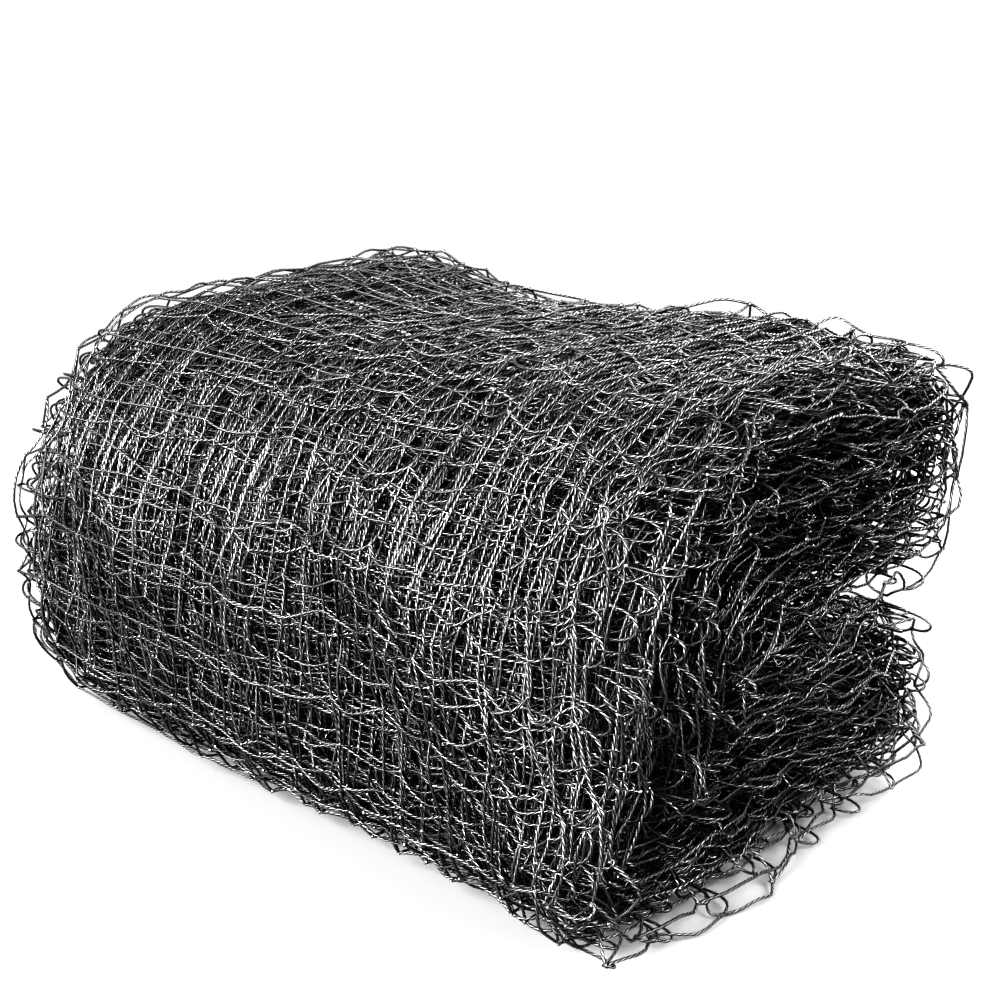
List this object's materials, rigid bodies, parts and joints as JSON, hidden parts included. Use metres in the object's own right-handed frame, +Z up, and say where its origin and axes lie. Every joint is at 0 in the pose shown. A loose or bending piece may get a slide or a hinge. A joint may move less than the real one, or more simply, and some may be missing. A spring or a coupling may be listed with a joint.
{
  "type": "cat safety net",
  "caption": "Black knotted square-mesh safety net of twisted twine for keeping a cat in, wound flat and doubled over into a loose bundle.",
  "frame": {"origin": "on the floor, under the middle of the bundle's outline", "axes": "+X along the bundle from its rounded end to its open end, -Y the front where the wound pad is bent over, +Z up"},
  "size_m": [0.3034, 0.1934, 0.1602],
  "materials": {
    "twine": "black twisted plastic-fibre twine, glossy"
  },
  "bodies": {
    "root": {"net": "twine"}
  },
  "joints": []
}
